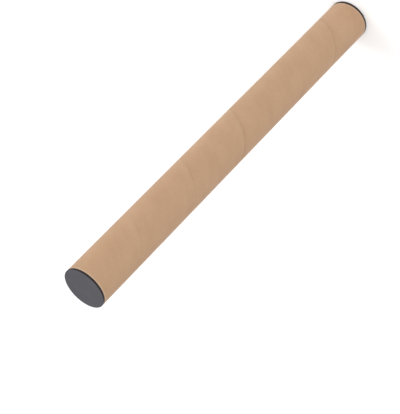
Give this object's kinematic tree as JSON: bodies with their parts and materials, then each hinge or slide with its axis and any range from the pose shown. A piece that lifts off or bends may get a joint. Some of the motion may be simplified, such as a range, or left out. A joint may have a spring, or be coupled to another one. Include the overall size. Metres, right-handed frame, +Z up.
{
  "type": "cardboard mailing tube",
  "caption": "Round spiral-wound cardboard mailing tube with push-in plastic end caps that pull out, for posting or storing rolled paper.",
  "frame": {"origin": "centre of the lower end cap's outer face, on the surface that the tube stands on", "axes": "+Z up along the tube's axis; -Y faces the picture's camera, and X and Y are otherwise free"},
  "size_m": [0.05, 0.05, 0.5048],
  "materials": {
    "kraft_board": "matte uncoated kraft board, wound from solid paper plies",
    "cap_plastic": "fine matte, injection-moulded dark grey"
  },
  "bodies": {
    "bottom_cap": {"bottom_end_cap": "cap_plastic"},
    "tube": {"wound_tube": "kraft_board"},
    "top_cap": {"top_end_cap": "cap_plastic"}
  },
  "joints": [
    {"name": "bottom_cap_pull", "type": "slide", "parent": "bottom_cap", "child": "tube", "axis": [0, 0, 1], "range_m": [0, 0.07]},
    {"name": "top_cap_pull", "type": "slide", "parent": "tube", "child": "top_cap", "axis": [0, 0, 1], "range_m": [0, 0.07]}
  ]
}
